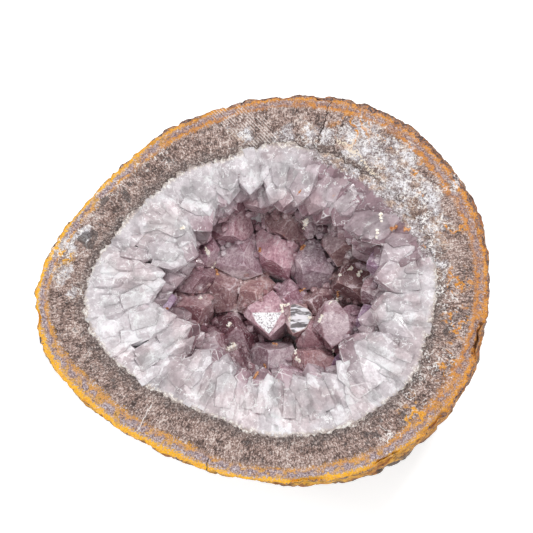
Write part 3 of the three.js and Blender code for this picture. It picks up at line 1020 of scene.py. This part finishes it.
clear, tree, shader = new_material("rim_quartz")
look = add(tree, "ShaderNodeGroup", node_tree=quartz_look)
place = object_place(tree)
tinged = times(tree, ramped(tree, stored(tree, "tipward"), 0.35, 1.0), stored(tree, "blush"))
tree.links.new(sum_of(tree, tinged, stored(tree, "mauve")), look.inputs["Blush"])
# Painted reflection: each wide face is lighter or darker by its own random tone.
facet_reflection_tone = strays(tree, stored(tree, "facet"), 1.3)
tree.links.new(sum_of(tree, stored(tree, "shade"), facet_reflection_tone), look.inputs["Shade"])
# The band beside each edge is whitened, partly as chipped frosting and partly as painted highlight.
worn = times(tree, stored(tree, "edge"), ramped(tree, cloud(tree, place, 500, 3), 0.46, 0.60, 0.0, 0.7))
tree.links.new(mixed(tree, worn, look.outputs["Colour"], colour(248, 246, 246)), shader.inputs["Base Color"])
tree.links.new(ramped(tree, cloud(tree, place, 240, 3), 0.35, 0.65, 0.12, 0.38), shader.inputs["Roughness"])
clouded_glass(shader, 2.8 * mm)
tree.links.new(bumped(tree, look.outputs["Height"], 0.5, 0.4 * mm), shader.inputs["Normal"])

# For each rim crystal, in order round the rim: mauve all over, more mauve at its tip, paleness.
rim_looks = [
    (0.1, 0.6, 0.4), (0.8, 0.6, -0.2), (0.95, 0.5, -0.3), (0.85, 0.9, -0.2), (0.55, 1.0, 0.2),
    (0.15, 0.7, 0.5),
    (0.1, 0.7, 0.8), (0.1, 0.7, 0.9), (0.15, 0.9, 0.5), (0.05, 0.7, 0.7), (0.0, 0.6, 0.8), (0.05, 0.7, 0.5),
    (0.3, 1.2, 0.5), (0.2, 1.1, 0.6), (0.1, 1.0, 0.7), (0.2, 1.0, 0.5), (0.15, 0.9, 0.8), (0.1, 0.8, 0.8),
    (0.2, 0.9, 0.6), (0.05, 0.6, 0.4),
]
for number, (mauve, blush, shade) in enumerate(rim_looks, start=1):
    node = f"rim_crystal_{number:02d}"
    low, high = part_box(node)
    middle = (low + high) / 2
    mesh = crystal_mesh(node)
    for _ in range(chance.choice((4, 5, 6))):
        tilt = chance.uniform(0.03, 0.16)
        heading = chance.uniform(0, 2 * math.pi)
        normal = Vector((tilt * math.cos(heading), tilt * math.sin(heading), 1)).normalized()
        aside = Vector((
            chance.uniform(-0.35, 0.35) * (high.x - low.x), chance.uniform(-0.35, 0.35) * (high.y - low.y), 0,
        ))
        point = Vector((middle.x, middle.y, high.z - chance.uniform(0.0, 0.5) * mm)) + aside
        trim_above(mesh, mesh.verts[:], point, normal)
    mesh.normal_update()
    wear_edges(mesh)
    scoop(mesh)
    inward_way = Vector((-middle.x, -middle.y, 0)).normalized()
    piece = finish_crystal(mesh, f"sawn_crystal_{number:02d}", clear)
    reach = [v.co.dot(inward_way) for v in piece.data.vertices]
    paint(piece, "tipward", [1 - min(1, (max(reach) - r) / tip_reach) for r in reach])
    for name, amount in (("mauve", mauve), ("blush", blush), ("shade", shade)):
        paint(piece, name, [amount] * len(piece.data.vertices))
    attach(piece, "root")
    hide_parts(node)


# ---------------------------------------------------------------------------------------
# Shoulder crystals
# Shorter crystals that grew in the notches between the rim crystals, milky at the wall and
# mauve towards the hollow. The saw took the backs off the highest; the others are whole.

shoulder_step = 6
crystals = []
for degree in range(0, 360, shoulder_step):
    near = [read_degrees(pit_edge, math.radians(degree + k)) for k in range(-15, 16)]
    tip_line = min(near)
    notch_depth = read_degrees(pit_edge, math.radians(degree)) - tip_line
    if notch_depth < 0.6 * mm:
        continue
    for layer in range(2):
        angle = math.radians(degree + chance.uniform(-3, 3))
        half_width = chance.uniform(2.6, 4.4) * mm
        reach = tip_line + (0.55 - 0.45 * layer) * notch_depth + chance.uniform(-0.8, 1.2) * mm
        height = top - (0.3 + 3.2 * layer + chance.uniform(-0.3, 0.6)) * mm
        height -= half_width * (0.35 + 0.25 * layer)
        tip = Vector((math.cos(angle) * reach, math.sin(angle) * reach, height))
        way = Vector((-math.cos(angle), -math.sin(angle), 0.15 + 0.35 * layer))
        way = (way + 0.18 * Vector((chance.gauss(0, 1), chance.gauss(0, 1), 0))).normalized()
        length = chance.uniform(5, 7) * mm
        foot = tip - way * (length + half_width * 0.8)
        level = Vector((tip.x, tip.y, top - chance.uniform(0.05, 0.4) * mm))
        tilt = Vector((chance.gauss(0, 0.07), chance.gauss(0, 0.07), 1)).normalized()
        crystals.append({
            "shape": (foot, way, half_width, length, half_width * 0.8, chance.uniform(0, 1)),
            "shade": chance.uniform(0.2, 0.9), "trim": (level, tilt),
            "blush": min(1, 0.1 + 0.6 * layer + 0.6 * dusty_share(angle)),
        })
shoulder_piece = crystal_cluster("shoulder_crystals", columns, crystals)
for v in shoulder_piece.data.vertices:
    v.co.z = min(v.co.z, top)
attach(shoulder_piece, "root")


# ---------------------------------------------------------------------------------------
# Amethyst points
# The mauve crystals on the wall and floor of the hollow: six-sided, each under a blunt
# six-faced point, glassy, clouded inside, darker where iron coloured them, and darker
# towards +x as painted shade.

tints = {
    "mauve": colour(210, 178, 187), "pink": colour(220, 186, 193), "pale": colour(232, 220, 226),
    "peach": colour(222, 193, 186), "dark": colour(164, 130, 136), "brown": colour(194, 161, 160),
    "grey": colour(202, 184, 190), "violet": colour(196, 168, 198), "rose": colour(204, 168, 174),
}
point_tints = """
    mauve mauve brown dark rose pink mauve pale pink grey
    brown mauve violet mauve mauve mauve violet brown brown peach
    mauve brown brown mauve mauve dark brown rose mauve violet
    mauve brown pale dark mauve mauve violet
""".split()
# How strongly a painted reflection whitens the upward facet of some points, and which point has a painted
# reflection of dark and light streaks on its upward facet, by number.
reflection_strengths = {25: 0.9, 31: 0.1}
streaked_reflection_point = 27
# Breaks across the facet with the painted reflection: a place on it, and the way the break looks, on the
# plan.
reflecting_facet_breaks = [(25, 0, -4.2, 0.0, 1.0), (25, 2.0, -7.0, 0.91, -0.41), (25, -2.2, -7.2, -0.74, -0.67)]


def amethyst_glass(name):
    """The mauve crystals' finish: their own tint, clouded, flawed and specked with iron, with painted
    highlights beside the edges and painted reflections on the faces.
    """
    material, tree, shader = new_material(name)
    place = object_place(tree)
    tint = add(tree, "ShaderNodeAttribute", attribute_name="tint").outputs["Color"]
    veil = cloud(tree, place, 230, 6, 0.68)
    fine = cloud(tree, place, 1300, 4, 0.75)
    depth = sum_of(tree, times(tree, veil, 0.8), times(tree, fine, 0.2))
    # Painted reflection: each wide face is dimmed or lightened by its own random tone; on the small crystals
    # the tone is one per crystal.
    facet = stored(tree, "facet")
    dim = mixed(tree, 1.0, tint, colour(206, 187, 193), "MULTIPLY")
    facet_reflection_colour = mixed(tree, ramped(tree, facet, 0.0, 0.55), dim, tint)
    facet_reflection_colour = mixed(tree, ramped(tree, facet, 0.62, 1.0, 0, 0.45), facet_reflection_colour, colour(232, 216, 222))
    deep = mixed(tree, 1.0, facet_reflection_colour, colour(214, 199, 205), "MULTIPLY")
    shaded = mixed(tree, ramped(tree, depth, 0.38, 0.58), deep, facet_reflection_colour)
    shaded = mixed(tree, ramped(tree, depth, 0.52, 0.68, 0, 0.85), shaded, colour(238, 226, 230))
    grain = banded(tree, fine, [(0.40, colour(224, 216, 218)), (0.56, colour(255, 255, 255))])
    shaded = mixed(tree, 1.0, shaded, grain, "MULTIPLY")
    # Painted highlight: a lighter band beside each edge.
    worn = times(tree, stored(tree, "edge"), ramped(tree, veil, 0.46, 0.60, 0.0, 0.5))
    shaded = mixed(tree, worn, shaded, colour(226, 214, 218))
    flaws = times(tree, thin_lines(tree, place, 300, 0.014), ramped(tree, fine, 0.42, 0.56, 0, 0.6))
    shaded = mixed(tree, flaws, shaded, colour(238, 226, 230))
    shaded = mixed(tree, ramped(tree, fine, 0.64, 0.69, 0, 0.6), shaded, colour(228, 216, 208))
    dark_specks = ramped(tree, cloud(tree, place, 1100, 3, 0.7), 0.315, 0.27, 0, 0.7)
    shaded = mixed(tree, dark_specks, shaded, colour(74, 54, 56))
    iron = ramped(tree, cloud(tree, place, 360, 5, 0.75), 0.655, 0.72, 0, 0.65)
    shaded = mixed(tree, iron, shaded, colour(186, 122, 84))
    # Painted reflection: a fine white speckle laid over the upward facets of some points, by the strength
    # stored for each.
    sparks = cloud(tree, place, 2300, 3, 0.7)
    sparkle = mixed(tree, ramped(tree, sparks, 0.42, 0.48), colour(150, 140, 146), colour(252, 252, 254))
    shaded = mixed(tree, stored(tree, "painted_reflection"), shaded, sparkle)
    # Painted reflection: dark and light streaks across the upward facet of one point.
    squeezed = add(tree, "ShaderNodeMapping", {0: place, 2: (0, 0, math.radians(-18)), 3: (170, 1000, 0)})
    streaks = cloud(tree, squeezed.outputs[0], 1.0, 3, 0.6)
    streak_reflection = mixed(tree, ramped(tree, streaks, 0.49, 0.55), colour(58, 52, 58), colour(230, 228, 234))
    shaded = mixed(tree, stored(tree, "reflected_streaks"), shaded, streak_reflection)
    tree.links.new(shaded, shader.inputs["Base Color"])
    tree.links.new(ramped(tree, veil, 0.35, 0.65, 0.05, 0.2), shader.inputs["Roughness"])
    shader.inputs["Coat Weight"].default_value = 0.3
    shader.inputs["Coat Roughness"].default_value = 0.04
    clouded_glass(shader, 3.0 * mm, weight=0.45)
    tree.links.new(bumped(tree, sum_of(tree, veil, fine), 0.4, 0.35 * mm), shader.inputs["Normal"])
    return material


amethyst = amethyst_glass("amethyst")
tips = []
for number, tint_name in enumerate(point_tints, start=1):
    node = f"amethyst_point_{number:02d}"
    low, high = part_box(node)
    middle = (low + high) / 2
    mesh = crystal_mesh(node)
    for owner, x, y, way_x, way_y in reflecting_facet_breaks:
        if owner == number:
            place = Vector((x * mm, y * mm, ground_height(x * mm, y * mm) + growth))
            trim_above(mesh, mesh.verts[:], place, Vector((way_x * 0.45, way_y * 0.45, 0.85)).normalized())
    mesh.normal_update()
    wear_edges(mesh)
    mesh.normal_update()
    reflection_layer = mesh.verts.layers.float.new("painted_reflection")
    reflected_streak_layer = mesh.verts.layers.float.new("reflected_streaks")
    edge_layer = mesh.verts.layers.float["edge"]
    # The painted reflections go only on the upward faces, away from the edge bands.
    for v in mesh.verts:
        if v[edge_layer] < 0.5 and v.normal.z > 0.9:
            v[reflection_layer] = reflection_strengths.get(number, 0)
        if v[edge_layer] < 0.5 and v.normal.z > 0.8:
            v[reflected_streak_layer] = 0.9 if number == streaked_reflection_point else 0
    piece = finish_crystal(mesh, f"amethyst_{number:02d}", amethyst)
    layer = piece.data.attributes.new("tint", "FLOAT_COLOR", "POINT")
    shaded_side = smooth_step(4 * mm, 20 * mm, middle.x + 0.4 * middle.y)
    strength = chance.uniform(0.86, 1.08) * (1 - 0.26 * shaded_side)
    own = [min(1, c * strength * chance.uniform(0.97, 1.03)) for c in tints[tint_name][:3]] + [1.0]
    layer.data.foreach_set("color", own * len(piece.data.vertices))
    tips.append((Vector((middle.x, middle.y, high.z)), own))
    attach(piece, "root")
    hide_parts(node)


# ---------------------------------------------------------------------------------------
# Small amethyst crystals
# Younger crystals a millimetre or two wide, which fill the crevices between the points and
# the foot of the rim crystals. They grew the same way and have the same mauve glass.

tries = 6000
hollow_reach = 35 * mm
spacing = 1.4 * mm
ring_reach = 1.7 * mm
least_drop = 0.3 * mm
white_tint = colour(226, 220, 224)
crystals, kept = [], []
for _ in range(tries):
    angle, reach = chance.uniform(0, 2 * math.pi), hollow_reach * math.sqrt(chance.random())
    x, y = math.cos(angle) * reach, math.sin(angle) * reach
    z = ground_height(x, y)
    if not 15 * mm < z < top - 0.8 * mm or reach > read_degrees(quartz_edge, angle) - 3 * mm:
        continue
    ring = [ground_height(x + ring_reach * math.cos(a), y + ring_reach * math.sin(a)) for a in range(6)]
    if z > sum(ring) / 6 - least_drop or any((x - a) ** 2 + (y - b) ** 2 < spacing ** 2 for a, b in kept):
        continue
    kept.append((x, y))
    way = Vector((-x * 0.9, -y * 0.9, 22 * mm)).normalized()
    way = (way + 0.4 * Vector((chance.gauss(0, 1), chance.gauss(0, 1), 0))).normalized()
    drop = sum(ring) / 6 - z
    half_width = chance.uniform(0.6, 1.3) * mm + 0.12 * drop
    tip = Vector((x, y, min(z + chance.uniform(0.4, 1.2) * mm + 0.5 * drop, top - 0.6 * mm)))
    length = chance.uniform(2.5, 4.0) * mm + 0.5 * drop
    own = min(tips, key=lambda entry: (entry[0] - tip).length)[1]
    whiter = smooth_step(18 * mm, 27 * mm, reach)
    strength = chance.uniform(0.8, 1.15)
    tint = [min(1, strength * (c * (1 - whiter) + w * whiter)) for c, w in zip(own[:3], white_tint)] + [1.0]
    crystals.append({
        "shape": (
            tip - way * (length + half_width), way, half_width, length, half_width * 1.15,
            chance.uniform(0, 1),
        ),
        "shade": chance.random(), "tint": tint,
    })
blade_foot, blade_way = Vector((17.9, 23.4, 36.0)) * mm, Vector((-2.0, -4.6, 1.2)).normalized()
crystals.append({
    "shape": (blade_foot, blade_way, 0.8 * mm, 4.4 * mm, 0.8 * mm, 0.4), "shade": 1, "tint": white_tint,
})
small_piece = crystal_cluster("small_amethysts", amethyst_glass("small_amethyst"), crystals)
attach(small_piece, "root")


# ---------------------------------------------------------------------------------------
# Crevice grit
# Cream calcite and rusty iron crumbs that settled in the crevices of the hollow and were
# never washed out: little heaps of broken flakes.

# Each heap: x, y, length, heading in degrees, width, and whether it is rusty.
heaps = [
    (-14.2, 10.2, 2.2, 110, 0.5, 0), (-13.4, 8.0, 2.0, 60, 0.5, 0), (-12.6, 6.2, 1.6, 100, 0.4, 1),
    (-16.5, -0.5, 0.8, 30, 0.4, 0), (-9.5, -7.0, 1.2, 60, 0.6, 0), (-8.9, -12.6, 2.2, 30, 0.9, 0),
    (3.6, -3.2, 2.0, 100, 0.5, 0), (4.9, -2.4, 1.4, 20, 0.4, 0), (5.5, -6.0, 1.0, 80, 0.4, 0),
    (6.6, -13.2, 2.6, 110, 0.5, 0), (7.6, -16.0, 1.6, 140, 0.5, 0), (10.5, -5.6, 0.8, 0, 0.4, 0),
    (13.4, -6.2, 2.0, 55, 0.5, 0), (16.2, -1.6, 2.8, 50, 0.4, 0), (17.2, 0.2, 1.6, 70, 0.4, 1),
    (9.5, 17.0, 1.7, 60, 0.8, 0), (8.5, 12.0, 1.5, 40, 0.6, 1), (20.4, 6.2, 1.2, 30, 0.5, 0),
    (18.0, 4.5, 0.7, 0, 0.4, 0), (22.6, 5.2, 1.8, 60, 0.5, 0), (-23.6, -4.5, 1.4, 60, 0.4, 1),
    (1.5, -11.6, 1.6, 150, 0.4, 1), (8.4, 1.6, 1.4, 20, 0.35, 1), (-2.0, 11.5, 1.0, 80, 0.4, 1),
    (16.0, -14.0, 1.2, 70, 0.4, 0), (-19.0, 14.5, 1.2, 40, 0.4, 0), (27.5, 12.6, 2.2, 80, 0.6, 0),
    (28.5, 16.5, 2.0, 100, 0.6, 0), (31.5, 14.0, 1.6, 20, 0.6, 1), (34.5, 13.6, 1.6, 0, 0.6, 1),
    (-1.4, -20.7, 1.6, 60, 0.45, 1), (9.0, 22.5, 2.4, 70, 0.35, 1), (16.8, 23.3, 1.8, 20, 0.35, 1),
    (29.5, -9.7, 2.4, 40, 0.35, 1), (-0.5, -17.5, 1.2, 100, 0.35, 1),
]
chip_mesh = bmesh.new()
small_ones = BVHTree.FromPolygons(
    [v.co for v in small_piece.data.vertices], [p.vertices[:] for p in small_piece.data.polygons]
)
rust_layer = chip_mesh.verts.layers.float.new("rust")
for x, y, length, heading, width, rusty in heaps:
    along = Vector((math.cos(math.radians(heading)), math.sin(math.radians(heading)), 0))
    for _ in range(int(8 + 5 * length)):
        spot = Vector((x, y, 0)) * mm + along * chance.uniform(-0.5, 0.5) * length * mm
        spot += along.cross(Vector((0, 0, 1))) * chance.gauss(0, 0.3) * width * mm
        small_hit = small_ones.ray_cast(Vector((spot.x, spot.y, top + 5 * mm)), Vector((0, 0, -1)))[0]
        spot.z = max(ground_height(spot.x, spot.y), small_hit.z if small_hit else 0) + 0.45 * mm
        spot.z = min(spot.z, top - 0.1 * mm)
        turned_by = Matrix.Rotation(chance.uniform(0, 6.28), 4, "Z")
        turned_by = turned_by @ Matrix.Rotation(chance.gauss(0, 0.6), 4, "X")
        size = Matrix.Diagonal((
            chance.uniform(0.5, 1.3), chance.uniform(0.3, 0.8), chance.uniform(0.2, 0.5), 1,
        ))
        made = bmesh.ops.create_icosphere(
            chip_mesh, subdivisions=1, radius=width * 0.75 * mm,
            matrix=Matrix.Translation(spot) @ turned_by @ size,
        )["verts"]
        for v in made:
            v.co += Vector((chance.gauss(0, 1), chance.gauss(0, 1), chance.gauss(0, 1))) * 0.05 * mm
            v[rust_layer] = rusty
crumbs, tree, shader = new_material("crevice_grit")
grit = cloud(tree, object_place(tree), 1800, 3, 0.7)
pale_grit = mixed(tree, ramped(tree, grit, 0.42, 0.58), colour(240, 228, 212), colour(255, 252, 246))
rust_grit = mixed(tree, ramped(tree, grit, 0.42, 0.58), colour(160, 96, 56), colour(222, 168, 120))
tree.links.new(mixed(tree, stored(tree, "rust"), pale_grit, rust_grit), shader.inputs["Base Color"])
shader.inputs["Roughness"].default_value = 0.7
tree.links.new(bumped(tree, grit, 0.5, 0.1 * mm), shader.inputs["Normal"])
grit_piece = finished(chip_mesh, "crevice_grit", crumbs, smooth=False)
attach(grit_piece, "root")
